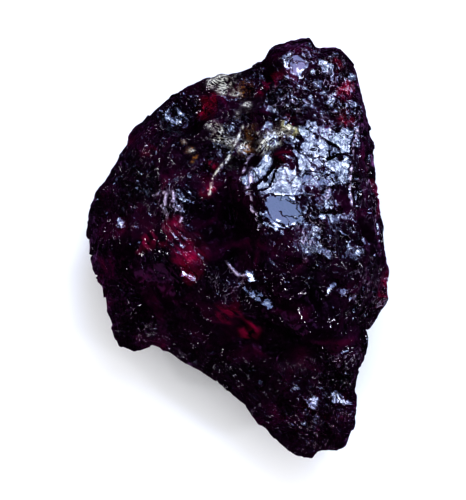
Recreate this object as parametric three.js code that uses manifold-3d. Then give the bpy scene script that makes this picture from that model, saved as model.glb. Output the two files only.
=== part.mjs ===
// A rough garnet crystal: one broken chunk of dark purplish-red garnet, lying on its flattest break.
// Seen from above it is a blunt wedge: a broad crown at the back (+Y), a shoulder on the left (-X),
// a steep wall on the right (+X) and a narrow tail at the front (-Y).
// It is one solid. A blank follows the plan outline. Flat breaks trim it, small angular chips come off
// its ridges, round scoops leave the shell-shaped hollows of garnet, and bites leave steps.
// Millimetres, +Z up. The origin is at the middle of the plan, on the surface that the stone rests on.

import * as THREE from "three";
import { MeshSurfaceSampler } from "three/addons/math/MeshSurfaceSampler.js";
import { mergeVertices } from "three/addons/utils/BufferGeometryUtils.js";
import Module from "manifold-3d";

const wasm = await Module();
wasm.setup();

// Driving dimensions.
const LENGTH = 48; // from the crown to the tip of the tail, along Y, before any chip is lost
const WIDTH = 34.6; // from the shoulder to the spur on the right wall, along X
const HEIGHT = 22; // of the blank, above the resting face

const SCOOP_DETAIL = 3; // how finely a scoop's ball is divided: coarse, so that its floor is faceted
const CHIP_DETAIL = 1; // the same for a chip's ball, which leaves flat little breaks
const JOINED = 1e-4; // corners nearer than this are one corner
const RESTING_NORMAL_Z = -0.9; // a face pointing further down than this is what the stone rests on
const BLOCK = 200; // the side of the block that a bite is made from, larger than the stone

// The plan outline, clockwise from the highest point of the crown.
const OUTLINE = [
  [8.6, 23.9], [9.3, 23.0], [12.4, 23.0], [13.9, 20.8], [14.9, 17.8], [15.6, 12.2],
  [16.1, 6.2], [16.7, 0], [17.2, -3.2], [16.6, -4.4], [16.7, -6.8], [15.8, -8.4],
  [14.3, -9.4], [14.2, -11.0], [13.4, -13.1], [12.8, -16.0], [12.4, -19.8], [11.8, -21.7],
  [10.0, -22.5], [9.0, -23.5], [7.1, -23.4], [4.2, -21.9], [2.2, -20.3], [0.9, -17.8],
  [-1.7, -15.7], [-5.6, -13.4], [-8.2, -11.7], [-9.8, -11.1], [-11.8, -12.0], [-13.4, -11.0],
  [-14.3, -8.3], [-15.2, -4.5], [-17.0, -1.4], [-17.7, 2.0], [-17.0, 4.3], [-15.3, 6.3],
  [-13.3, 10.2], [-11.5, 13.2], [-9.5, 15.6], [-6.8, 17.4], [-3.8, 18.9], [-0.9, 19.8],
  [0.9, 20.8], [3.3, 21.3], [4.6, 22.7],
];

// The blank's rings, from the top down: how high each is, and what share of the way from the middle to
// the outline it reaches.
const MIDDLE = [3.2, 1.7];
const RINGS = [
  { z: HEIGHT, share: 0.62 },
  { z: 17, share: 0.8 },
  { z: 13, share: 0.91 },
  { z: 9.5, share: 0.985 },
  { z: 7.5, share: 1 },
  { z: 5.5, share: 0.975 },
  { z: 3, share: 0.89 },
  { z: 0, share: 0.68 },
];

// Flat breaks. Each passes through a point and faces a way: tilt is its normal's angle from straight up,
// and turn is the compass angle of that tilt, anticlockwise from +X.
const BREAKS = {
  knobTop: { at: [7.1, 20.7, 17.2], tilt: 12, turn: 42 },
  crownBack: { at: [7, 22.2, 13], tilt: 66, turn: 92 },
  crownLeft: { at: [-2.5, 18, 12], tilt: 56, turn: 118 },
  shoulderBack: { at: [-7, 11, 13.8], tilt: 33, turn: 142 },
  backEdge: { at: [-9.6, 14.2, 10.2], tilt: 58, turn: 132 },
  shoulder: { at: [-13, 2, 11.4], tilt: 36, turn: 183 },
  shoulderEdge: { at: [-16.2, 2, 8.6], tilt: 62, turn: 188 },
  shoulderFront: { at: [-4, -6.5, 13.8], tilt: 43, turn: 237 },
  rimFront: { at: [5.4, -1.3, 20.8], tilt: 24, turn: 238 },
  belly: { at: [6, -5, 19.4], tilt: 29, turn: 258 },
  rightSlope: { at: [10, -1.8, 20.1], tilt: 26, turn: -60 },
  rightWall: { at: [14.5, 5.6, 14.5], tilt: 74, turn: 8 },
  tailTip: { at: [9.7, -18.5, 11], tilt: 42, turn: 272 },
  underShoulder: { at: [-12.5, -3.5, 2.8], tilt: 142, turn: 200 },
  underCrown: { at: [9.5, 19.5, 2.4], tilt: 138, turn: 70 },
  underWall: { at: [15, -4, 3.2], tilt: 128, turn: -8 },
  underBack: { at: [-7.5, 14, 3.2], tilt: 142, turn: 132 },
  underTail: { at: [7, -20.5, 2.4], tilt: 150, turn: 262 },
};

// Bites. Only what lies beyond both of a bite's faces is gone, so they leave a step.
const BITES = {
  window: [
    { at: [4.6, 1.4, 20.4], tilt: 15, turn: 53 },
    { at: [7, 17.2, 16.4], tilt: 46, turn: 268 },
  ],
  crownRight: [
    { at: [10.8, 18.1, 14.8], tilt: 27, turn: 56 },
    { at: [8.8, 20, 16], tilt: 55, turn: 5 },
  ],
  knobLeft: [
    { at: [5.8, 19.5, 17.2], tilt: 34, turn: 190 },
    { at: [3, 15.6, 16], tilt: 72, turn: 95 },
  ],
  basin: [
    { at: [-1, 1.7, 16.8], tilt: 9, turn: 215 },
    { at: [2.2, 4, 20.3], tilt: 50, turn: 192 },
  ],
  windowBack: [
    { at: [10, 10.4, 16.1], tilt: 15, turn: 56 },
    { at: [9, 9.4, 18], tilt: 70, turn: 62 },
  ],
  windowRight: [
    { at: [11, 3, 17.7], tilt: 18, turn: 40 },
    { at: [9.6, 3, 19.3], tilt: 70, turn: 8 },
  ],
  tailWall: [
    { at: [14.4, -12, 7.5], tilt: 76, turn: -4 },
    { at: [15.8, -8.8, 7.5], tilt: 78, turn: -62 },
  ],
  tailStep: [
    { at: [8, -14.6, 11.4], tilt: 20, turn: 282 },
    { at: [8, -12.4, 13], tilt: 66, turn: 284 },
  ],
};

// Scoops. at is the deepest point, the axis faces as a break does, and radius is the sphere's.
const SCOOPS = {
  hollow: { at: [-4.5, 13.6, 10.9], tilt: 26, turn: 135, radius: 3.7 },
  crownGap: { at: [1.7, 16.6, 14], tilt: 24, turn: 120, radius: 7 },
  gully: { at: [1.2, 11.5, 16.4], tilt: 14, turn: 200, radius: 8 },
  tailNotch: { at: [2.6, -14.4, 9.6], tilt: 48, turn: 232, radius: 14 },
  shoulderGap: { at: [-8.6, -7.4, 9.9], tilt: 44, turn: 240, radius: 12 },
};

// Chips: small angular flakes lost from the ridges, each a coarse ball that dips a little below the surface.
// Ridges are found by how far the surface round a point falls below that point, on average.
const CHIPS = {
  count: 150,
  seed: 11,
  spacing: 1.7, // the least distance between the middles of two chips
  radius: [3, 12],
  dip: [0.15, 0.5], // below the surface
  probes: 6000, // points on the surface that ridges are found with
  reach: 2.2, // how far round a point its ridge is looked for
  fall: 0.17, // the least average fall of a ridge
};

const direction = ({ tilt, turn }) => {
  const t = THREE.MathUtils.degToRad(tilt);
  const a = THREE.MathUtils.degToRad(turn);
  return new THREE.Vector3(Math.sin(t) * Math.cos(a), Math.sin(t) * Math.sin(a), Math.cos(t));
};

// A three.js geometry as a manifold-3d solid.
const solidOf = (geometry) => {
  const bare = geometry.clone();
  bare.deleteAttribute("normal");
  bare.deleteAttribute("uv");
  const merged = mergeVertices(bare, JOINED);
  return new wasm.Manifold(
    new wasm.Mesh({
      numProp: 3,
      vertProperties: merged.attributes.position.array,
      triVerts: new Uint32Array(merged.index.array),
    }),
  );
};

// The outline, stretched to the driving length and width.
const fitOutline = () => {
  const box = new THREE.Box2().setFromPoints(OUTLINE.map(([x, y]) => new THREE.Vector2(x, y)));
  const size = box.getSize(new THREE.Vector2());
  return OUTLINE.map(([x, y]) => [(x * WIDTH) / size.x, (y * LENGTH) / size.y]);
};

// The blank: a lathe whose turns are pushed out to the plan outline.
const makeBlank = () => {
  const outline = fitOutline();
  const profile = [
    new THREE.Vector2(0, RINGS[0].z),
    ...RINGS.map(({ z, share }) => new THREE.Vector2(share, z)),
    new THREE.Vector2(0, RINGS.at(-1).z),
  ];
  const lathe = new THREE.LatheGeometry(profile, OUTLINE.length);
  const place = lathe.attributes.position;
  const perTurn = profile.length;
  for (let i = 0; i < place.count; i += 1) {
    const corner = outline[Math.floor(i / perTurn) % outline.length];
    const { x: share, y: z } = profile[i % perTurn];
    const [x, y] = [0, 1].map((k) => MIDDLE[k] + share * (corner[k] - MIDDLE[k]));
    place.setXYZ(i, x, y, z);
  }
  return solidOf(lathe);
};

const trim = (stone, { at, ...facing }) => {
  const inward = direction(facing).negate();
  return stone.trimByPlane(inward.toArray(), inward.dot(new THREE.Vector3(...at)));
};

// What lies beyond all of a bite's faces: a block with everything inside them trimmed away.
const biteBlock = (faces) => {
  const block = solidOf(new THREE.BoxGeometry(BLOCK, BLOCK, BLOCK));
  return faces.reduce((left, { at, ...facing }) => {
    const outward = direction(facing);
    return left.trimByPlane(outward.toArray(), outward.dot(new THREE.Vector3(...at)));
  }, block);
};

const scoopBall = ({ at, radius, ...facing }) => {
  const centre = new THREE.Vector3(...at).addScaledVector(direction(facing), radius);
  const ball = new THREE.IcosahedronGeometry(radius, SCOOP_DETAIL).translate(...centre);
  return solidOf(ball);
};

const toGeometry = (solid) => {
  const { vertProperties, triVerts } = solid.getMesh();
  const geometry = new THREE.BufferGeometry();
  geometry.setAttribute("position", new THREE.BufferAttribute(vertProperties, 3));
  geometry.setIndex(new THREE.BufferAttribute(triVerts, 1));
  geometry.computeVertexNormals();
  return geometry;
};

// Numbers from 0 to 1 that are the same on every run (the mulberry32 generator).
const seeded = (seed) => () => {
  seed = (seed + 0x6d2b79f5) | 0;
  let t = Math.imul(seed ^ (seed >>> 15), 1 | seed);
  t = (t + Math.imul(t ^ (t >>> 7), 61 | t)) ^ t;
  return ((t ^ (t >>> 14)) >>> 0) / 2 ** 32;
};

// How far the probes round a point fall below its own level, on average.
const fallRound = (at, normal, probes) => {
  const near = probes.filter((probe) => probe.distanceTo(at) < CHIPS.reach);
  const falls = near.map((probe) => at.clone().sub(probe).dot(normal));
  return falls.reduce((sum, fall) => sum + fall, 0) / near.length;
};

// Every chip as one solid, placed on the ridges of the stone that they come off.
const makeChips = (stone) => {
  const random = seeded(CHIPS.seed);
  const between = ([low, high]) => THREE.MathUtils.lerp(low, high, random());
  const surface = new THREE.Mesh(toGeometry(stone).toNonIndexed());
  surface.geometry.computeVertexNormals();
  const sampler = new MeshSurfaceSampler(surface).setRandomGenerator(random).build();
  const probes = Array.from({ length: CHIPS.probes }, () => {
    const probe = new THREE.Vector3();
    sampler.sample(probe);
    return probe;
  });
  const normal = new THREE.Vector3();
  const places = [];
  const balls = [];
  while (balls.length < CHIPS.count) {
    const at = new THREE.Vector3();
    sampler.sample(at, normal);
    const crowded = places.some((place) => place.distanceTo(at) < CHIPS.spacing);
    const resting = normal.z < RESTING_NORMAL_Z;
    if (!crowded && !resting && fallRound(at, normal, probes) > CHIPS.fall) {
      const radius = between(CHIPS.radius);
      const lift = radius - between(CHIPS.dip);
      const ball = new THREE.IcosahedronGeometry(radius, CHIP_DETAIL);
      ball.rotateX(random() * Math.PI).rotateZ(random() * Math.PI);
      ball.translate(...at.clone().addScaledVector(normal, lift));
      places.push(at);
      balls.push(solidOf(ball));
    }
  }
  return wasm.Manifold.union(balls);
};

const subtractAll = (solid, cutters) => cutters.reduce((left, cutter) => left.subtract(cutter), solid);

const broken = Object.values(BREAKS).reduce(trim, makeBlank());
const chipped = broken.subtract(makeChips(broken));
const scooped = subtractAll(chipped, Object.values(SCOOPS).map(scoopBall));
const stepped = subtractAll(scooped, Object.values(BITES).map(biteBlock));
const { min, max } = stepped.boundingBox();
const stone = stepped.translate([-(min[0] + max[0]) / 2, -(min[1] + max[1]) / 2, -min[2]]);

const garnet = new THREE.MeshStandardMaterial({ color: 0x2a0616, roughness: 0.15, metalness: 0 });
const crystal = new THREE.Mesh(toGeometry(stone), garnet);
crystal.name = "garnet_crystal";

const part = new THREE.Group();
part.name = "garnet";
part.add(crystal);

export default part;
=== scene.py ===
import math

import bmesh
import bpy
import numpy as np
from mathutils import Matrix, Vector


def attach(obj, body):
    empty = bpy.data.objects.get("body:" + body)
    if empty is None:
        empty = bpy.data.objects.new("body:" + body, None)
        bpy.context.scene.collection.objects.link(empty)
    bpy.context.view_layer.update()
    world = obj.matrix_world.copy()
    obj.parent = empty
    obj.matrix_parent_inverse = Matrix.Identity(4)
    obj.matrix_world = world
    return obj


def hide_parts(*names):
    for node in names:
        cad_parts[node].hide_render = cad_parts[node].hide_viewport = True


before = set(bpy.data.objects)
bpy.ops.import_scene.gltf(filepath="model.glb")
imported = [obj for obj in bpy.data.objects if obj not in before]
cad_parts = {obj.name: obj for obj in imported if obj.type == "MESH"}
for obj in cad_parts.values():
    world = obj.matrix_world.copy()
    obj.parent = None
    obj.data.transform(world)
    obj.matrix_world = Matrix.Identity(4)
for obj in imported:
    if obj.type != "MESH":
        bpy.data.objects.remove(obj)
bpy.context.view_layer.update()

MM = 0.001  # metres in a millimetre

# ---------------------------------------------------------------------------------------------
# The camera looks down on the stone, a little from its front, as a stone is looked at in the
# hand. A long lens keeps the perspective slight.
# ---------------------------------------------------------------------------------------------
VIEW_ELEVATION = math.radians(80)
VIEW_AIM = Vector((-0.15, -0.7, 7.5)) * MM
VIEW_HEIGHT = 56.5 * MM  # how much of the table the picture's long side takes in at the aim
FOCAL_LENGTH = 100.0  # in millimetres, on a 36 mm sensor

lens_data = bpy.data.cameras.new("stone_camera")
lens_data.lens = FOCAL_LENGTH
lens_data.sensor_width = 36.0
lens_data.clip_start = 0.01
lens_data.clip_end = 10.0
camera = bpy.data.objects.new("stone_camera", lens_data)
bpy.context.scene.collection.objects.link(camera)
bpy.context.scene.camera = camera
view_back = Vector((0.0, -math.cos(VIEW_ELEVATION), math.sin(VIEW_ELEVATION)))
camera.location = VIEW_AIM + view_back * (VIEW_HEIGHT * FOCAL_LENGTH / lens_data.sensor_width)
camera.rotation_mode = "QUATERNION"
camera.rotation_quaternion = (-view_back).to_track_quat("-Z", "Y")

# ---------------------------------------------------------------------------------------------
# The garnet is one broken chunk of dark purplish-red crystal, and lies loose on its flattest
# break. None of its own faces is left: every surface is a glassy break, dished like a shell in
# places and hackly or stepped in others.
# ---------------------------------------------------------------------------------------------
VOXEL = 0.19 * MM
SHARP = math.radians(30)  # two facets that meet at more than this have a crisp edge
AREA = 3300  # of the stone's surface, in square millimetres
TRIES = 6  # how often a place is tried for each that is picked
BLOCK = 4000  # how many places are worked on at a time, to save memory
KEPT = 0.74  # the share of the triangles left in the end, since flat places need few
REFRACTION = 1.78
CLARITY = 0.82  # how much of the light that isn't reflected goes into clean garnet
SHEEN_SHARE = 0.13  # how much of what is under it the painted highlight, a thin pale film, hides


def merged_copy(solid, name):
    """A copy of a CAD node whose loose triangles are joined at their corners."""
    joined = bmesh.new()
    joined.from_mesh(solid.data)
    bmesh.ops.remove_doubles(joined, verts=joined.verts, dist=0.001 * MM)
    mesh = bpy.data.meshes.new(name)
    joined.to_mesh(mesh)
    joined.free()
    copy = bpy.data.objects.new(name, mesh)
    bpy.context.scene.collection.objects.link(copy)
    return copy


def apply_modifiers(piece):
    """The piece's mesh becomes what its modifiers make of it."""
    depsgraph = bpy.context.evaluated_depsgraph_get()
    finished = bpy.data.meshes.new_from_object(piece.evaluated_get(depsgraph), depsgraph=depsgraph)
    piece.modifiers.clear()
    piece.data = finished
    finished.name = piece.name


def read_points(mesh, layer):
    """A mesh's places or normals as rows of three numbers."""
    values = np.empty(len(mesh.vertices) * 3)
    mesh.vertices.foreach_get(layer, values)
    return values.reshape(-1, 3)


def scatter(places, spacing, draws):
    """The numbers of points picked all over the surface, no two nearer than the spacing."""
    tries = draws.permutation(len(places))[: int(TRIES * AREA / spacing**2)]
    found = np.empty((len(tries), 3))
    picked = []
    for number in tries:
        place = places[number]
        gaps = found[: len(picked)] - place
        if not picked or np.min(np.einsum("ij,ij->i", gaps, gaps)) > spacing**2:
            found[len(picked)] = place
            picked.append(number)
    return np.array(picked)


def bowls(places, centres, radii, leans, levels):
    """The height of the lowest of many shallow bowls, which meet in sharp ridges."""
    heights = np.empty(len(places))
    bend = 0.5 / radii
    pull = centres / radii[:, None] - leans
    rest = bend * np.sum(centres**2, axis=1) - np.sum(leans * centres, axis=1) + levels
    for start in range(0, len(places), BLOCK):
        part = places[start : start + BLOCK]
        away = np.sum(part**2, axis=1)[:, None] * bend[None, :]
        heights[start : start + BLOCK] = np.min(away - part @ pull.T + rest, axis=1)
    return heights


def settled(places, heights, reach):
    """The heights, less their average over the neighbourhood, so that no side swells or sinks."""
    centres = places[scatter(places, reach, np.random.default_rng(1))]
    kept = np.empty(len(places))
    sums = np.zeros(len(centres))
    weights = np.zeros(len(centres))
    pulls = []
    for start in range(0, len(places), BLOCK):
        part = places[start : start + BLOCK]
        away = np.sum(part**2, axis=1)[:, None] - 2 * part @ centres.T + np.sum(centres**2, axis=1)
        pull = np.exp(-away / (2 * (0.6 * reach) ** 2)).astype(np.float32)
        pulls.append(pull)
        sums += heights[start : start + BLOCK] @ pull
        weights += np.sum(pull, axis=0)
    means = sums / weights
    for count, pull in enumerate(pulls):
        start = BLOCK * count
        kept[start : start + BLOCK] = pull @ means / np.sum(pull, axis=1)
    return heights - kept


def flake_scars(places, normals, spacing, radius, lean, level, seed):
    """Scars of flakes broken off side by side: radius and level are ranges, lean is a slope."""
    draws = np.random.default_rng(seed)
    picked = scatter(places, spacing, draws)
    centres = places[picked]
    count = len(centres)
    radii = np.exp(draws.uniform(np.log(radius[0]), np.log(radius[1]), count))
    leans = draws.normal(0.0, lean, (count, 3))
    leans -= normals[picked] * np.sum(leans * normals[picked], axis=1)[:, None]
    levels = draws.uniform(-level, level, count)
    return settled(places, bowls(places, centres, radii, leans, levels), 3.0)


def chunks(places, normals, spacing, lean, level, seed):
    """Little blocks side by side, each with its own lean and depth, with small ledges between."""
    draws = np.random.default_rng(seed)
    picked = scatter(places, spacing, draws)
    centres = places[picked]
    leans = draws.normal(0.0, lean, (len(picked), 3))
    leans -= normals[picked] * np.sum(leans * normals[picked], axis=1)[:, None]
    levels = draws.uniform(-level, level, len(picked)) - np.sum(leans * centres, axis=1)
    half = 0.5 * np.sum(centres**2, axis=1)
    heights = np.empty(len(places))
    for start in range(0, len(places), BLOCK):
        part = places[start : start + BLOCK]
        mine = np.argmax(part @ centres.T - half, axis=1)
        heights[start : start + BLOCK] = np.sum(leans[mine] * part, axis=1) + levels[mine]
    return heights


def drift(places, wavelength, seed):
    """A smooth random field from about -1 to 1."""
    draws = np.random.default_rng(seed)
    waves = draws.normal(0.0, 1.0, (12, 3))
    waves *= 2 * np.pi / wavelength / np.linalg.norm(waves, axis=1)[:, None]
    phases = draws.uniform(0.0, 2 * np.pi, 12)
    return np.sum(np.sin(places @ waves.T + phases), axis=1) / 4


def near(places, spots):
    """1 in the middle of any of the spots (x, y, z, reach) and 0 beyond their reach."""
    share = np.zeros(len(places))
    for *middle, reach in spots:
        away = np.linalg.norm(places - middle, axis=1) / reach
        share = np.maximum(share, np.clip(1.6 * (1.0 - away), 0.0, 1.0))
    return share


def terraces(places, across, pitch, rise, seed):
    """Narrow steps that follow one another in the direction across and die out here and there."""
    across = np.array(across) / np.linalg.norm(across)
    sway = 0.5 * drift(places, 8 * pitch, seed) + 0.2 * drift(places, 2.5 * pitch, seed + 1)
    turns = places @ across / pitch + sway
    lasting = np.clip(0.5 + drift(places, 5 * pitch, seed + 2), 0.0, 1.0)
    return rise * lasting * (turns - np.floor(turns) - 0.5)


def cleaved(places, normals, faces, bend, deepest):
    """Heights that turn the surface round each middle into the tilted face given there.

    A face is (x, y, z, reach, tilt, turn): its tilt from level and the way its slope looks, in
    degrees. The second result is 1 on the faces and 0 beyond their reach.
    """
    nearest = np.full(len(places), np.inf)
    heights = np.zeros(len(places))
    ragged = 0.22 * drift(places, 1.6, 11) + 0.14 * drift(places, 0.7, 12)
    for *middle, reach, tilt, turn in faces:
        middle = places[np.argmin(np.linalg.norm(places - middle, axis=1))]
        slope = math.sin(math.radians(tilt))
        turn = math.radians(turn)
        face = np.array((slope * math.cos(turn), slope * math.sin(turn), math.cos(math.radians(tilt))))
        offsets = places - middle
        away = np.sum(offsets**4, axis=1) ** 0.25 / reach + ragged * (0.6 + 0.8 / reach)
        dish = np.sum(offsets**2, axis=1) / (2 * bend) - reach**2 / (6 * bend)
        rise = dish - (offsets @ face) / np.maximum(normals @ face, 0.5)
        closer = away < nearest
        heights = np.where(closer, rise, heights)
        nearest = np.where(closer, away, nearest)
    share = np.clip(5.0 * (1.0 - nearest), 0.0, 1.0)
    return np.clip(heights, -deepest, deepest) * share, share


def beside(places, path):
    """How far each place is, seen from above, from a line through the points of a path."""
    nearest = np.full(len(places), np.inf)
    for start, end in zip(np.array(path[:-1]), np.array(path[1:])):
        run = end - start
        share = np.clip((places - start) @ run / (run @ run), 0.0, 1.0)
        nearest = np.minimum(nearest, np.linalg.norm(places - start - share[:, None] * run, axis=1))
    return nearest


def paint(mesh, name, shares):
    """Keeps a share from 0 to 1 at every point of the mesh, for the material to read."""
    layer = mesh.attributes.new(name, "FLOAT", "POINT")
    layer.data.foreach_set("value", np.clip(shares, 0.0, 1.0).astype(np.float32))


stone = merged_copy(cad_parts["garnet_crystal"], "garnet_stone")
fine = stone.modifiers.new("fine", "REMESH")
fine.mode = "VOXEL"
fine.voxel_size = VOXEL
apply_modifiers(stone)

places = read_points(stone.data, "co") / MM
normals = read_points(stone.data, "normal")
foot = np.clip((places[:, 2] - 0.15) / 0.5, 0.0, 1.0)  # the resting face stays flat

# The clean faces, most of them in the big stepped break on the right. A face is (x, y, z, reach,
# tilt, turn).
FACES = [
    (9.2, 9.5, 17.6, 3.0, 15, 54), (12.0, 9.8, 16.2, 1.6, 14, 60), (8.1, 6.8, 18.6, 2.3, 14, 50),
    (11.0, 6.5, 17.6, 2.3, 16, 58), (8.0, 4.6, 19.0, 2.3, 13.5, 35), (9.6, 2.6, 18.8, 1.8, 21, 46),
    (11.7, 3.2, 17.0, 1.8, 36, 20), (12.9, 0.2, 15.9, 2.0, 44, 0), (3.3, 5.0, 18.2, 2.4, 16, 58),
    (5.3, 4.1, 19.0, 2.4, 15, 54), (5.0, 1.1, 19.0, 2.6, 12, 32), (7.4, -2.0, 19.7, 2.4, 23.5, 33),
    (10.2, 0.2, 18.8, 1.8, 24, 44), (5.0, 7.7, 18.3, 1.0, 38, 120), (4.2, 10.0, 17.5, 1.7, 18, 62),
    (6.9, 12.0, 16.8, 1.0, 34, 100), (6.9, 18.5, 14.8, 1.4, 10.2, 21), (4.4, 18.8, 15.6, 2.0, 36, 190),
    (10.4, 18.7, 15.4, 1.0, 14, 48), (2.3, -5.2, 17.2, 0.9, 17, 55), (11.5, -17.4, 10.0, 0.9, 22, 67),
    (2.6, -7.4, 16.8, 1.6, 15, 38), (10.0, -6.1, 17.5, 0.7, 18, 52), (11.2, -6.8, 17.4, 0.6, 18, 52),
    (12.3, -7.5, 17.0, 0.6, 18, 52), (8.6, -18.4, 10.6, 0.6, 20, 50),
    (9.2, 16.6, 14.6, 0.7, 13, 44), (10.8, 14.8, 14.8, 0.7, 13, 46), (8.0, 14.0, 14.8, 0.8, 14, 48),
    (12.7, 14.0, 14.6, 0.7, 14, 46), (13.2, 17.6, 13.8, 0.6, 13, 42),
    (-12.3, 1.7, 11.5, 0.7, 18, 42), (-5.4, -4.5, 15.0, 0.5, 18, 50), (-4.3, -4.9, 14.8, 0.5, 18, 50),
]
# The spots below are (x, y, z, reach). First, where the break is rough with small flakes.
HACKLY = [
    (11.8, 16.6, 14.3, 5.0), (11.9, 13.1, 15.2, 3.5), (0.9, 16.9, 13.4, 2.4), (-1.0, 10.9, 16.3, 3.0),
    (-2.3, 6.8, 17.1, 2.5), (6.1, 14.1, 15.5, 3.0), (-7.5, 4.4, 15.6, 3.5), (-11.5, 6.2, 12.7, 4.0),
    (9.4, -18.4, 9.5, 6.5), (15.1, -8.4, 9.0, 6.0), (2.6, -7.4, 16.0, 2.5), (10.1, -6.0, 16.6, 3.0),
    (7.4, -2.0, 19.7, 2.4), (10.0, 1.6, 18.8, 3.0), (15.5, 6.0, 12.0, 5.0), (-4.9, -4.7, 14.9, 1.6),
    (-0.9, -6.9, 15.3, 2.0), (-11.5, 2.0, 12.0, 2.2), (0.5, -4.4, 16.8, 2.0),
]
# Where it is smooth and glassy.
SMOOTH = [
    (3.9, 17.9, 14.5, 3.0), (-0.7, 1.1, 16.7, 5.0), (0.6, -2.4, 16.7, 5.0), (5.0, 1.0, 19.0, 2.5),
    (-8.6, -5.4, 12.0, 7.0), (7.1, -8.4, 15.5, 6.0), (-3.8, 12.7, 11.6, 2.8), (1.0, -11.0, 13.0, 4.0),
    (7.2, 19.3, 16.9, 1.5), (-12.0, -2.0, 10.0, 4.0),
]
# Where red light that comes through thin places is painted into the colour.
PAINTED_GLOWS = [
    (-5.2, -2.6, 15.8, 2.4), (-4.5, -4.0, 15.2, 1.7), (-6.9, -0.1, 15.9, 1.9), (-9.5, -0.7, 14.0, 1.4),
    (-0.5, -8.4, 14.0, 1.9), (1.7, -10.5, 13.4, 1.5), (3.7, 16.6, 14.9, 1.5), (15.7, 4.6, 11.0, 2.5),
    (15.9, -5.4, 10.5, 2.5), (16.9, -5.4, 8.0, 2.0), (5.5, 20.7, 16.4, 1.4),
    (-8.9, 9.1, 11.5, 2.0), (13.4, 8.0, 13.5, 2.0),
]
# Clear red lumps; the red light that shines through them is painted into the colour.
LUMPS_AND_GLOWS = [
    (-2.5, 15.5, 12.5, 1.8), (-3.1, 14.4, 11.4, 1.4), (11.4, 18.9, 14.0, 1.1), (12.1, 15.8, 14.5, 1.5),
    (12.1, 12.5, 15.0, 1.4), (-2.4, 6.8, 17.2, 0.9), (-2.9, 4.1, 16.7, 0.9), (5.3, 7.2, 18.9, 1.2),
    (6.0, 12.1, 16.3, 0.9), (12.8, 16.6, 14.3, 1.0), (-5.1, -3.2, 15.6, 0.9),
]
COMBED = [(7.4, -2.0, 19.7, 2.2)]  # where fine ridges lie side by side
SHEEN_SPOTS = [(6.9, 18.5, 14.8, 1.8)]  # a face made paler by a painted highlight, as a thin pale film
# Where iron stains it brown.
RUSTY = [
    (-5.4, 10.3, 14.3, 0.9), (-4.8, 8.9, 15.5, 0.9), (-4.2, 7.8, 16.4, 0.7), (1.1, 16.2, 13.5, 1.2),
    (1.7, 10.4, 16.2, 1.2), (1.4, 8.7, 16.5, 1.0), (0.2, 15.0, 14.0, 0.9),
]
# Where it breaks in narrow steps: the spots, the way across the steps, their pitch and rise.
STEPPED = [
    ([(8.4, 4.8, 18.8, 3.4)], (1, 1.1, 0), 0.6, 0.2), ([(4.0, 10.0, 17.6, 2.4)], (1, 0.5, 0), 0.6, 0.22),
    ([(-1.2, 9.9, 16.0, 2.2)], (-0.35, 1, 0), 0.5, 0.22), ([(0.6, 16.1, 13.8, 3.0)], (0.6, 1, 0), 0.8, 0.25),
    ([(15.1, 4.6, 11.0, 8.0), (15.6, -6.4, 11.0, 6.0)], (0.3, 0.1, 1), 2.0, 0.35),
    ([(-5.8, -2.2, 16.0, 4.0)], (1, 1, 0), 1.0, 0.15), ([(8.1, -17.4, 10.5, 6.0)], (1, -0.4, 0), 1.3, 0.15),
]
CALM = [(5.0, 1.1, 19.0, 2.5), (6.9, 18.5, 14.8, 1.5)]  # smooth faces that shine evenly
LENS = (5.0, 1.3, 19.0, 2.9)  # a shell break with rings round the front of its rim
# Where thin pale mineral has grown in the breaks, in fibres that lie across the back ridge or fan out.
CROSSED = [
    (-1.5, 10.5, 16.5, 1.3), (-0.4, 9.7, 16.1, 1.2), (-1.0, 17.2, 12.6, 1.7), (-2.1, 18.0, 12.1, 1.3),
    (0.2, 15.9, 13.2, 1.2), (0.9, 14.0, 14.5, 1.0), (0.5, 12.6, 15.8, 1.1),
    (-5.3, 10.2, 14.4, 0.8), (-4.7, 8.8, 15.6, 0.7), (-2.2, 11.6, 15.4, 1.2), (0.9, 9.0, 16.4, 0.9),
]
FANNED = [(2.9, 8.4, 17.6, 1.3), (3.8, 9.4, 17.9, 1.5), (4.9, 10.3, 17.8, 1.4)]
GOLDEN = [(6.1, 10.9, 18.0, 1.3)]
VEIN = [(0.9, 11.4), (0.2, 9.9), (-0.3, 8.8), (-0.9, 7.2), (-1.9, 6.0), (-2.4, 5.0), (-2.8, 3.6)]
# Sharp thin ridges, which stand up a little; their glints are painted as lilac lines.
RIDGES = [
    [(13.3, 11.1), (12.9, 8.8), (12.6, 6.6), (12.4, 4.6), (12.5, 2.5)],
    [(1.8, 8.0), (1.4, 6.4), (1.0, 4.8)],
    [(2.1, 5.9), (1.5, 3.6), (1.8, 2.1), (3.0, -0.4)],
    [(-9.0, 3.9), (-8.2, 4.2), (-7.4, 4.1)],
    [(-7.2, 3.9), (-7.0, 3.0), (-7.6, 2.7), (-7.3, 2.2), (-7.4, 1.2)],
    [(-6.6, 4.2), (-6.3, 3.4), (-6.6, 2.6)], [(-5.9, 2.4), (-5.6, 1.4), (-5.9, 0.8)],
    [(-0.7, -3.6), (0.8, -5.0), (1.6, -5.1)],
]
LINE_WIDTH = 0.14  # of a ridge or the vein
LINE_HEIGHT = 0.12
RING_HEIGHT = 0.04  # of the rings in the shell break
# Where fine glints run over the hackly breaks, painted as light lines.
HIGHLIGHT_LINED = [
    (11.6, 16.8, 14.3, 5.0), (12.0, 13.0, 15.2, 4.0), (6.1, 14.6, 15.5, 3.4), (-0.5, 12.0, 15.0, 2.6),
    (-7.0, 2.2, 15.5, 3.0), (8.0, -1.6, 19.4, 3.4), (14.6, 4.0, 13.5, 5.0), (9.4, 3.6, 18.4, 3.0),
    (13.5, -6.0, 16.0, 3.5), (15.5, -6.5, 11.0, 4.0), (0.0, -5.5, 16.0, 2.5), (12.2, -13.0, 10.5, 2.5),
]

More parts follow.
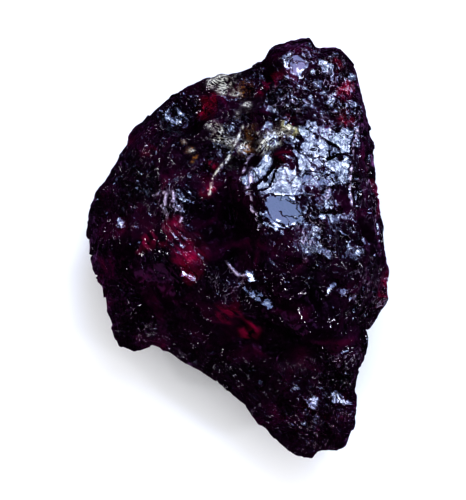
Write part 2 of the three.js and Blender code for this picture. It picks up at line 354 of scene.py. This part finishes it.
# Scars and blocks, of which clean and calm faces keep little.
smooth = near(places, SMOOTH)
hackly = near(places, HACKLY) * (1.0 - smooth)
faces, faced = cleaved(places, normals, FACES, bend=60.0, deepest=0.5)
large = flake_scars(places, normals, spacing=2.8, radius=(5.0, 50.0), lean=0.14, level=0.12, seed=3)
small = flake_scars(places, normals, spacing=1.15, radius=(2.0, 20.0), lean=0.2, level=0.05, seed=5)
relief = large * (1.0 - 0.6 * smooth) + small * (0.5 + 0.7 * hackly - 0.25 * smooth)
ragged = places + 0.25 * drift(places, 1.1, 31)[:, None]
blocks = chunks(ragged, normals, spacing=1.5, lean=0.12, level=0.09, seed=9)
relief = relief + blocks * (0.8 + 0.6 * hackly - 0.6 * smooth)
calm = np.clip(5.0 * near(places, CALM), 0.0, 1.0)
relief = relief * (1.0 - 0.8 * faced) * (1.0 - 0.8 * calm) + faces
# Narrow steps.
for number, (spots, across, pitch, rise) in enumerate(STEPPED):
    relief = relief + terraces(places, across, pitch, rise, seed=7 + 3 * number) * near(places, spots)
# Rings at the front of the shell break's rim.
from_lens = places - LENS[:3]
ring = np.linalg.norm(from_lens, axis=1) / LENS[3]
front = np.clip(-2.0 * (from_lens[:, 0] + from_lens[:, 1]) / LENS[3], 0.0, 1.0)
rim = np.clip((ring - 0.65) * 8.0, 0.0, 1.0) * np.clip((1.05 - ring) * 8.0, 0.0, 1.0) * front
relief = relief + RING_HEIGHT * np.cos(ring * 2 * np.pi * 7.0) * rim
# The vein and the ridges stand up a little. They wander, and lie only on top.
wander = 0.5 * drift(places, 2.2, 21)
wavy = places + 0.3 * wander[:, None]
topside = np.clip(5.0 * normals[:, 2] - 1.2, 0.0, 1.0)
vein = np.clip(1.5 - beside(wavy[:, :2], VEIN) / LINE_WIDTH, 0.0, 1.0) * topside
to_ridge = np.min([beside(wavy[:, :2], path) for path in RIDGES], axis=0)
ridge_and_highlight = np.clip(1.5 - to_ridge / LINE_WIDTH, 0.0, 1.0) * topside
relief = relief + LINE_HEIGHT * np.maximum(vein, ridge_and_highlight)
# What the material reads.
wavy = places + 0.6 * wander[:, None]
paint(stone.data, "hackle", (0.38 + 0.62 * hackly - 0.35 * smooth) * (1.0 - 0.8 * faced) * (1.0 - calm))
paint(stone.data, "clean", (1.0 - smooth) * (1.0 - calm))
paint(stone.data, "vein", vein)
# The ridges carry a painted lilac highlight as well as their height.
paint(stone.data, "ridge_and_highlight", ridge_and_highlight)
paint(stone.data, "highlight_lined", near(wavy, HIGHLIGHT_LINED) * (1.0 - calm))
paint(stone.data, "painted_glow", near(places + wander[:, None], PAINTED_GLOWS))
# A painted highlight that makes the square face shine paler.
paint(stone.data, "painted_sheen", near(places, SHEEN_SPOTS))
for name, spots in (
    ("crossed", CROSSED), ("fanned", FANNED), ("golden", GOLDEN),
    ("lump_and_glow", LUMPS_AND_GLOWS), ("rust", RUSTY), ("combed", COMBED),
):
    paint(stone.data, name, near(wavy, spots))

places = places + normals * (relief * foot)[:, None]
stone.data.vertices.foreach_set("co", (places * MM).ravel())
stone.data.update()
lighter = stone.modifiers.new("lighter", "DECIMATE")
lighter.ratio = KEPT
apply_modifiers(stone)
stone.data.shade_smooth()
stone.data.set_sharp_from_angle(angle=SHARP)

garnet = bpy.data.materials.new("garnet")
garnet.use_nodes = True
nodes = garnet.node_tree.nodes
links = garnet.node_tree.links
shader = nodes["Principled BSDF"]
shader.inputs["IOR"].default_value = REFRACTION

position = nodes.new("ShaderNodeTexCoord")
millimetres = nodes.new("ShaderNodeMapping")
millimetres.inputs["Scale"].default_value = (1000, 1000, 1000)
links.new(position.outputs["Object"], millimetres.inputs["Vector"])


def cloud(scale, detail, distortion=0.0, roughness=0.55):
    """Noise on the stone, with its scale per millimetre."""
    noise = nodes.new("ShaderNodeTexNoise")
    noise.inputs["Scale"].default_value = scale
    noise.inputs["Detail"].default_value = detail
    noise.inputs["Roughness"].default_value = roughness
    noise.inputs["Distortion"].default_value = distortion
    links.new(millimetres.outputs["Vector"], noise.inputs["Vector"])
    return noise.outputs["Fac"]


def ramp(fac, stops):
    """Colours along a factor, each stop a position and a colour."""
    node = nodes.new("ShaderNodeValToRGB")
    links.new(fac, node.inputs["Fac"])
    marks = node.color_ramp.elements
    while len(marks) < len(stops):
        marks.new(0.5)
    for mark, (place, colour) in zip(marks, stops):
        mark.position = place
        mark.color = (*colour, 1)
    return node.outputs["Color"]


def painted(name):
    """A share kept at the mesh's points."""
    node = nodes.new("ShaderNodeAttribute")
    node.attribute_name = name
    return node.outputs["Fac"]


def sums(kind, first, second):
    """A sum, product or other calculation with two sockets or numbers."""
    node = nodes.new("ShaderNodeMath")
    node.operation = kind
    for socket, value in zip(node.inputs, (first, second)):
        if isinstance(value, float):
            socket.default_value = value
        else:
            links.new(value, socket)
    return node.outputs["Value"]


def over(share, under, colour):
    """Lays a colour over what is under it, by a share."""
    node = nodes.new("ShaderNodeMix")
    node.data_type = "RGBA"
    links.new(share, node.inputs[0])
    links.new(under, node.inputs[6])
    node.inputs[7].default_value = (*colour, 1)
    return node.outputs[2]


def spread(fac, low, high):
    """Stretches the part of a factor from low to high to 0 to 1."""
    node = nodes.new("ShaderNodeMapRange")
    links.new(fac, node.inputs["Value"])
    node.inputs["From Min"].default_value = low
    node.inputs["From Max"].default_value = high
    return node.outputs["Result"]


def laid(length, turn):
    """The place on the stone, stretched so that a pattern on it is longer towards the turn."""
    node = nodes.new("ShaderNodeMapping")
    node.vector_type = "TEXTURE"
    node.inputs["Rotation"].default_value = (0.0, 0.0, math.radians(turn))
    node.inputs["Scale"].default_value = (length, 1.0, 1.0)
    links.new(millimetres.outputs["Vector"], node.inputs["Vector"])
    return node.outputs["Vector"]


def streaks(scale, length, turn):
    """Noise drawn out in one direction."""
    noise = nodes.new("ShaderNodeTexNoise")
    noise.inputs["Scale"].default_value = scale
    noise.inputs["Detail"].default_value = 4.0
    noise.inputs["Distortion"].default_value = 0.8
    links.new(laid(length, turn), noise.inputs["Vector"])
    return noise.outputs["Fac"]


def contours(fac, width):
    """Thin curved lines, where a factor is about a half."""
    return spread(sums("ABSOLUTE", sums("SUBTRACT", fac, 0.5), 0.0), width, 0.0)


def fibres(turn, folds=12.0):
    """Many fine uneven lines that run towards the turn, wider where the folds are fewer."""
    folded = sums("PINGPONG", sums("MULTIPLY", streaks(1.0, 3.5, turn), folds), 0.5)
    return sums("MULTIPLY", spread(folded, 0.34, 0.12), spread(cloud(1.4, 2.0), 0.34, 0.46))


body = ramp(cloud(0.3, 6.0, 0.6), [
    (0.35, (0.004, 0.0, 0.005)), (0.52, (0.035, 0.0, 0.03)),
    (0.62, (0.11, 0.002, 0.07)), (0.75, (0.35, 0.006, 0.12)),
])
# Painted red light: the red that shines through thin places, laid on as colour.
painted_glow = sums("MULTIPLY", painted("painted_glow"), spread(streaks(1.1, 3.0, -45.0), 0.4, 0.66))
lump_and_glow = sums("MULTIPLY", painted("lump_and_glow"), spread(cloud(1.1, 4.0, 1.0), 0.4, 0.62))
rust = sums("MULTIPLY", painted("rust"), spread(cloud(1.7, 4.0, 1.0), 0.42, 0.6))
# Painted highlights: fine lilac lines where glints run over the hackly breaks, the pale sheen on the square
# face and the ridges' glints.
lines = sums("MULTIPLY", contours(streaks(1.3, 2.0, 70.0), 0.032), spread(cloud(1.1, 3.0), 0.45, 0.6))
broken = spread(cloud(1.6, 3.0), 0.4, 0.55)
thin = sums("MAXIMUM", sums("MULTIPLY", painted("highlight_lined"), lines), sums("MULTIPLY", painted("painted_sheen"), SHEEN_SHARE))
lilac = sums("MAXIMUM", thin, sums("MULTIPLY", painted("ridge_and_highlight"), broken))
crossed = sums("MULTIPLY", painted("crossed"), fibres(-25.0))
fanned = sums("MULTIPLY", painted("fanned"), fibres(48.0))
pale = sums("MAXIMUM", sums("MAXIMUM", crossed, fanned), sums("MULTIPLY", painted("vein"), broken))
golden = sums("MULTIPLY", painted("golden"), spread(cloud(1.3, 3.0), 0.3, 0.42))
coloured = body
# Laid over the body in turn: painted red light, red lumps with their painted red light, rust, the painted
# lilac highlights, pale mineral and a golden grain.
for share, colour in (
    (painted_glow, (1.0, 0.01, 0.2)), (lump_and_glow, (0.62, 0.008, 0.08)), (rust, (0.45, 0.2, 0.04)),
    (lilac, (0.9, 0.75, 0.95)), (pale, (0.82, 0.8, 0.7)), (golden, (0.95, 0.88, 0.4)),
):
    coloured = over(share, coloured, colour)
links.new(coloured, shader.inputs["Base Color"])
# Pale crust and the painted highlights let less light in.
crust_and_highlights = sums("MAXIMUM", sums("MAXIMUM", pale, golden), sums("MULTIPLY", lilac, 0.6))
# Rust stains, and the red light painted on the lumps, let less light in.
stains_and_lump_glows = sums("MAXIMUM", sums("MULTIPLY", rust, 0.6), sums("MULTIPLY", lump_and_glow, 0.3))
clear = sums("MULTIPLY", sums("SUBTRACT", 1.0, sums("MAXIMUM", crust_and_highlights, stains_and_lump_glows)), CLARITY)
links.new(clear, shader.inputs["Transmission Weight"])
links.new(ramp(cloud(0.8, 3.0), [(0.35, (0.015,) * 3), (0.7, (0.06,) * 3)]), shader.inputs["Roughness"])


def bumped(height, strength, depth, under):
    """Adds a height in shares of a depth in millimetres to the normal under it."""
    node = nodes.new("ShaderNodeBump")
    node.inputs["Distance"].default_value = depth * MM
    if isinstance(strength, float):
        node.inputs["Strength"].default_value = strength
    else:
        links.new(strength, node.inputs["Strength"])
    links.new(height, node.inputs["Height"])
    if under:
        links.new(under, node.inputs["Normal"])
    return node.outputs["Normal"]


def vectors(kind, first, second):
    """A calculation with two vectors, the second a socket or three numbers."""
    node = nodes.new("ShaderNodeVectorMath")
    node.operation = kind
    links.new(first, node.inputs[0])
    if isinstance(second, tuple):
        node.inputs[1].default_value = second
    else:
        links.new(second, node.inputs[1])
    return node.outputs["Value" if kind == "DOT_PRODUCT" else "Vector"]


def facets(scale, warp, length, turn):
    """Little flat breaks side by side, each leaning its own way and longer towards the turn."""
    stretched = laid(length, turn)
    wavy = nodes.new("ShaderNodeTexNoise")
    wavy.inputs["Scale"].default_value = 0.6 * scale
    wavy.inputs["Detail"].default_value = 2.0
    links.new(stretched, wavy.inputs["Vector"])
    swing = vectors("MULTIPLY", wavy.outputs["Color"], (warp / scale,) * 3)
    place = vectors("ADD", stretched, swing)
    pattern = nodes.new("ShaderNodeTexVoronoi")
    pattern.inputs["Scale"].default_value = scale
    links.new(place, pattern.inputs["Vector"])
    offset = vectors("SUBTRACT", place, pattern.outputs["Position"])
    lean = vectors("SUBTRACT", pattern.outputs["Color"], (0.5, 0.5, 0.5))
    return vectors("DOT_PRODUCT", offset, lean)


def edges(scale, warp):
    """Distances from the edges between large uneven flakes, with their number per millimetre."""
    wavy = nodes.new("ShaderNodeTexNoise")
    wavy.inputs["Scale"].default_value = 0.8 * scale
    wavy.inputs["Detail"].default_value = 4.0
    links.new(millimetres.outputs["Vector"], wavy.inputs["Vector"])
    swing = vectors("MULTIPLY", wavy.outputs["Color"], (warp / scale,) * 3)
    pattern = nodes.new("ShaderNodeTexVoronoi")
    pattern.feature = "DISTANCE_TO_EDGE"
    pattern.inputs["Scale"].default_value = scale
    links.new(vectors("ADD", millimetres.outputs["Vector"], swing), pattern.inputs["Vector"])
    return pattern.outputs["Distance"]


hackle = painted("hackle")
crinkles = bumped(cloud(1.2, 3.0, 0.8), sums("MULTIPLY", painted("clean"), 0.6), 0.18, None)
flakes = bumped(facets(0.9, 1.6, 1.5, 100.0), sums("ADD", hackle, 0.05), 0.8, crinkles)
splinters = bumped(facets(2.8, 1.4, 2.4, -45.0), hackle, 1.1, flakes)
crests = sums("MULTIPLY", spread(edges(0.5, 2.4), 0.035, 0.0), spread(cloud(0.45, 2.0), 0.5, 0.56))
combed = bumped(fibres(-50.0, 6.0), painted("combed"), 0.06, splinters)
links.new(bumped(crests, 1.0, 0.05, combed), shader.inputs["Normal"])

depth = nodes.new("ShaderNodeVolumeAbsorption")
depth.inputs["Color"].default_value = (0.942, 0.076, 0.615, 1)
depth.inputs["Density"].default_value = 2600
links.new(depth.outputs["Volume"], nodes["Material Output"].inputs["Volume"])
stone.data.materials.clear()
stone.data.materials.append(garnet)

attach(stone, "root")
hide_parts("garnet_crystal")

# ---------------------------------------------------------------------------------------------
# The table is a plain pale sheet. The light is soft, from a window behind on the right, and three
# small lamps make single glints.
# ---------------------------------------------------------------------------------------------
FLOOR_RADIUS = 600 * MM
LAMP_AIM = Vector((0, 0, 12)) * MM
WINDOW = (0.325, 0.589, 0.740)  # the way to it from the stone
floor_mesh = bmesh.new()
bmesh.ops.create_circle(floor_mesh, cap_ends=True, segments=96, radius=FLOOR_RADIUS)
floor_data = bpy.data.meshes.new("table")
floor_mesh.to_mesh(floor_data)
floor_mesh.free()
floor = bpy.data.objects.new("table", floor_data)
bpy.context.scene.collection.objects.link(floor)
paper = bpy.data.materials.new("pale_paper")
paper.use_nodes = True
paper.node_tree.nodes["Principled BSDF"].inputs["Base Color"].default_value = (0.9, 0.88, 0.88, 1)
paper.node_tree.nodes["Principled BSDF"].inputs["Roughness"].default_value = 0.9
floor_data.materials.append(paper)


def softbox(name, toward, away, size, radiance, colour):
    """A light that shines at the stone. toward is its direction from the stone."""
    lamp = bpy.data.lights.new(name, "AREA")
    lamp.shape = "RECTANGLE"
    lamp.size = size[0]
    lamp.size_y = size[1]
    lamp.energy = radiance * math.pi * size[0] * size[1]
    lamp.color = colour
    lamp_object = bpy.data.objects.new(name, lamp)
    bpy.context.scene.collection.objects.link(lamp_object)
    direction = Vector(toward).normalized()
    lamp_object.location = direction * away + LAMP_AIM
    lamp_object.rotation_mode = "QUATERNION"
    lamp_object.rotation_quaternion = direction.to_track_quat("Z", "Y")


softbox("window_light", WINDOW, 0.5, (0.3, 0.3), 5, (0.41, 0.52, 0.88))
softbox("window_sun", WINDOW, 0.49, (0.1, 0.1), 12, (0.85, 0.95, 1.0))
softbox("left_glint", (-0.75, 0.35, 0.6), 0.5, (0.05, 0.05), 26, (0.95, 0.95, 1.0))
softbox("front_glint", (-0.35, -0.75, 0.6), 0.5, (0.04, 0.04), 22, (0.95, 0.95, 1.0))
softbox("right_glint", (0.85, -0.3, 0.5), 0.5, (0.05, 0.05), 40, (0.85, 0.9, 1.0))

# The room is evenly pale to look at. Reflected in the stone it is dim, with a few bright patches.
world = bpy.data.worlds.new("studio")
world.use_nodes = True
bpy.context.scene.world = world
room = world.node_tree
bright = room.nodes["Background"]
bright.inputs["Color"].default_value = (0.95, 0.99, 1.0, 1)
bright.inputs["Strength"].default_value = 0.82
dim = room.nodes.new("ShaderNodeBackground")
rays = room.nodes.new("ShaderNodeLightPath")
plain = room.nodes.new("ShaderNodeMath")
plain.operation = "MAXIMUM"
room.links.new(rays.outputs["Is Camera Ray"], plain.inputs[0])
room.links.new(rays.outputs["Is Diffuse Ray"], plain.inputs[1])
choose = room.nodes.new("ShaderNodeMixShader")
room.links.new(plain.outputs[0], choose.inputs["Fac"])
room.links.new(dim.outputs["Background"], choose.inputs[1])
room.links.new(bright.outputs["Background"], choose.inputs[2])
room.links.new(choose.outputs["Shader"], room.nodes["World Output"].inputs["Surface"])
toward = room.nodes.new("ShaderNodeTexCoord")
height = room.nodes.new("ShaderNodeSeparateXYZ")
room.links.new(toward.outputs["Generated"], height.inputs["Vector"])
level = room.nodes.new("ShaderNodeMapRange")
level.inputs["From Min"].default_value = -1.0
room.links.new(height.outputs["Z"], level.inputs["Value"])
tint = room.nodes.new("ShaderNodeValToRGB")
room.links.new(level.outputs["Result"], tint.inputs["Fac"])
tint.color_ramp.elements[0].position = 0.35
tint.color_ramp.elements[0].color = (0.16, 0.07, 0.2, 1)
tint.color_ramp.elements[1].position = 0.75
tint.color_ramp.elements[1].color = (0.13, 0.06, 0.18, 1)
middle_tint = tint.color_ramp.elements.new(0.55)
middle_tint.color = (0.12, 0.02, 0.07, 1)
room.links.new(tint.outputs["Color"], dim.inputs["Color"])
shapes = room.nodes.new("ShaderNodeTexNoise")
shapes.inputs["Scale"].default_value = 5.0
shapes.inputs["Detail"].default_value = 2.0
room.links.new(toward.outputs["Generated"], shapes.inputs["Vector"])
contrast = room.nodes.new("ShaderNodeMapRange")
room.links.new(shapes.outputs["Fac"], contrast.inputs["Value"])
contrast.inputs["From Min"].default_value = 0.57
contrast.inputs["From Max"].default_value = 0.65
contrast.inputs["To Min"].default_value = 0.02
contrast.inputs["To Max"].default_value = 3.0
room.links.new(contrast.outputs["Result"], dim.inputs["Strength"])
floor.visible_glossy = False  # so that the stone's facets show the dim room, not the table

bpy.context.scene.view_settings.view_transform = "Standard"
bpy.context.scene.view_settings.look = "High Contrast"
